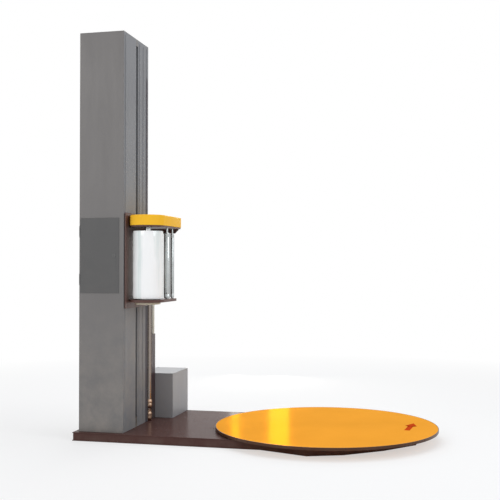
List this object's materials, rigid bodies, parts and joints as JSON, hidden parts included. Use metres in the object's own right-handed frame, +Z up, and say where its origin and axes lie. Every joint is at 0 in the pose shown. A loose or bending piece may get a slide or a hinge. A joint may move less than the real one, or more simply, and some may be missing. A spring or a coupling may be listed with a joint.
{
  "type": "turntable pallet wrapper",
  "caption": "Turntable stretch wrapper: a round turntable on a low base turns the load while a film carriage rides up and down a tall mast.",
  "frame": {"origin": "on the floor at the turntable's axis", "axes": "+X from the mast to the turntable, +Z up, -Y towards the side with the control cabinet's door"},
  "size_m": [2.6253, 1.6498, 3.001],
  "materials": {
    "base": "gloss dark brown paint",
    "mast": "satin grey paint",
    "door": "satin darker grey paint",
    "drive_box": "satin blue-grey paint",
    "table": "gloss orange-yellow paint",
    "table_rim": "dark brown paint",
    "carriage": "satin dark brown paint",
    "cover": "gloss yellow paint",
    "film": "clear stretch film wound on itself",
    "core": "grey-brown cardboard tube",
    "spindle": "turned",
    "brake": "moulded pale plastic",
    "roller": "polished",
    "pipe": "polished",
    "coupling": "nickel-plated, worn",
    "trunking": "satin dark brown paint",
    "conduit": "corrugated light grey plastic",
    "steel": "machined",
    "chain": "oiled",
    "iron": "blue-grey machine paint",
    "tyre": "polyurethane-like tread",
    "belt": "toothed belt",
    "guide": "white engineering plastic",
    "zinc": "zinc plated",
    "device": "dark moulded plastic",
    "panel": "satin dark grey paint",
    "start": "green",
    "stop": "black",
    "estop": "red",
    "switch": "red",
    "gland": "black nylon",
    "lock": "zinc die casting, chromed"
  },
  "bodies": {
    "machine": {"base_plate": "base", "base_skirt": "base", "base_deck": "base", "pivot_post": "steel", "pivot_bearing": "steel", "turntable_chain": "chain", "wheel_brackets": "zinc", "drive_box_cover": "drive_box", "drive_box_lid": "drive_box", "turntable_gearmotor": "iron", "mast_side_near": "mast", "mast_side_far": "mast", "mast_front_near": "mast", "mast_front_far": "mast", "mast_rear_cover": "mast", "mast_top_cap": "mast", "mast_foot": "steel", "guide_rails": "steel", "lift_chain": "chain", "lift_gearmotor": "iron", "standpipe": "pipe", "standpipe_couplings": "coupling", "cable_trunking": "trunking", "flexible_conduit": "conduit", "junction_box": "mast", "control_backplate": "zinc", "control_devices": "device", "operator_panel": "panel", "cable_gland": "gland", "panel_screws": "zinc"},
    "turntable": {"turntable_plate": "table", "turntable_rim": "table_rim", "turntable_hub": "steel", "turntable_sprocket": "steel"},
    "turntable_drive": {"turntable_drive_sprocket": "steel"},
    "lift_drive": {"lift_drive_sprocket": "steel"},
    "lift_idler": {"lift_idler_sprocket": "steel"},
    "carriage": {"carriage_trolley": "steel", "trolley_guides": "guide", "carriage_backplate": "carriage", "carriage_cover": "cover", "carriage_top_plate": "carriage", "carriage_bottom_plate": "carriage", "stretch_belt": "belt"},
    "film": {"film_spindle": "spindle", "film_core": "core", "film_roll": "film", "brake_wheel": "brake"},
    "stretch": {"stretch_roller": "roller"},
    "guide": {"guide_roller": "roller"},
    "door": {"control_door": "door"},
    "lock": {"door_lock": "lock"},
    "start": {"start_button": "start"},
    "stop": {"stop_button": "stop"},
    "estop": {"emergency_stop": "estop"},
    "isolator": {"main_switch": "switch"},
    "wheel_1": {"support_wheel_1": "tyre"},
    "wheel_2": {"support_wheel_2": "tyre"},
    "wheel_3": {"support_wheel_3": "tyre"},
    "wheel_4": {"support_wheel_4": "tyre"}
  },
  "joints": [
    {"name": "turntable_spin", "type": "hinge", "parent": "machine", "child": "turntable", "pos_m": [0, 0, 0.06], "axis": [0, 0, 1], "continuous": true},
    {"name": "turntable_drive_spin", "type": "hinge", "parent": "machine", "child": "turntable_drive", "pos_m": [-1.394, 0.366, 0.06], "axis": [0, 0, 1], "continuous": true},
    {"name": "support_wheel_1_spin", "type": "hinge", "parent": "machine", "child": "wheel_1", "pos_m": [0.37123, 0.37123, 0.0547], "axis": [0.7071, 0.7071, 0], "continuous": true},
    {"name": "support_wheel_2_spin", "type": "hinge", "parent": "machine", "child": "wheel_2", "pos_m": [-0.37123, 0.37123, 0.0547], "axis": [-0.7071, 0.7071, 0], "continuous": true},
    {"name": "support_wheel_3_spin", "type": "hinge", "parent": "machine", "child": "wheel_3", "pos_m": [-0.37123, -0.37123, 0.0547], "axis": [-0.7071, -0.7071, 0], "continuous": true},
    {"name": "support_wheel_4_spin", "type": "hinge", "parent": "machine", "child": "wheel_4", "pos_m": [0.37123, -0.37123, 0.0547], "axis": [0.7071, -0.7071, 0], "continuous": true},
    {"name": "carriage_lift", "type": "slide", "parent": "machine", "child": "carriage", "axis": [0, 0, 1], "range_m": [-0.88, 1.24]},
    {"name": "lift_drive_spin", "type": "hinge", "parent": "machine", "child": "lift_drive", "pos_m": [-1.52, -0.255, 2.78], "axis": [0, 1, 0], "continuous": true},
    {"name": "lift_idler_spin", "type": "hinge", "parent": "machine", "child": "lift_idler", "pos_m": [-1.52, -0.255, 0.16], "axis": [0, 1, 0], "continuous": true},
    {"name": "film_spin", "type": "hinge", "parent": "carriage", "child": "film", "pos_m": [-1.2615, -0.405, 1.286], "axis": [0, 0, 1], "continuous": true},
    {"name": "stretch_roller_spin", "type": "hinge", "parent": "carriage", "child": "stretch", "pos_m": [-1.165, -0.255, 1.296], "axis": [0, 0, 1], "continuous": true},
    {"name": "guide_roller_spin", "type": "hinge", "parent": "carriage", "child": "guide", "pos_m": [-1.165, -0.13, 1.296], "axis": [0, 0, 1], "continuous": true},
    {"name": "cabinet_door", "type": "hinge", "parent": "machine", "child": "door", "pos_m": [-1.748, -0.529, 1.3535], "axis": [0, 0, -1], "range_deg": [0, 110]},
    {"name": "door_lock_turn", "type": "hinge", "parent": "door", "child": "lock", "pos_m": [-1.478, -0.526, 1.3535], "axis": [0, 1, 0], "range_deg": [0, 90]},
    {"name": "start_press", "type": "slide", "parent": "machine", "child": "start", "axis": [1, 0, 0], "range_m": [0, 0.004], "stiffness_N_per_m": 900},
    {"name": "stop_press", "type": "slide", "parent": "machine", "child": "stop", "axis": [1, 0, 0], "range_m": [0, 0.004], "stiffness_N_per_m": 900},
    {"name": "emergency_stop_press", "type": "slide", "parent": "machine", "child": "estop", "axis": [1, 0, 0], "range_m": [0, 0.004]},
    {"name": "main_switch_turn", "type": "hinge", "parent": "machine", "child": "isolator", "pos_m": [-1.79, -0.205, 1.375], "axis": [1, 0, 0], "range_deg": [0, 90]}
  ],
  "couplings": [
    {"joint": "turntable_drive_spin", "follows": "turntable_spin", "ratio": 4.7692},
    {"joint": "support_wheel_1_spin", "follows": "turntable_spin", "ratio": -18.103},
    {"joint": "support_wheel_2_spin", "follows": "turntable_spin", "ratio": -18.103},
    {"joint": "support_wheel_3_spin", "follows": "turntable_spin", "ratio": -18.103},
    {"joint": "support_wheel_4_spin", "follows": "turntable_spin", "ratio": -18.103},
    {"joint": "lift_drive_spin", "follows": "carriage_lift", "rad_per_m": -25.125},
    {"joint": "lift_idler_spin", "follows": "carriage_lift", "rad_per_m": -25.125},
    {"joint": "guide_roller_spin", "follows": "stretch_roller_spin", "ratio": 2.6}
  ]
}
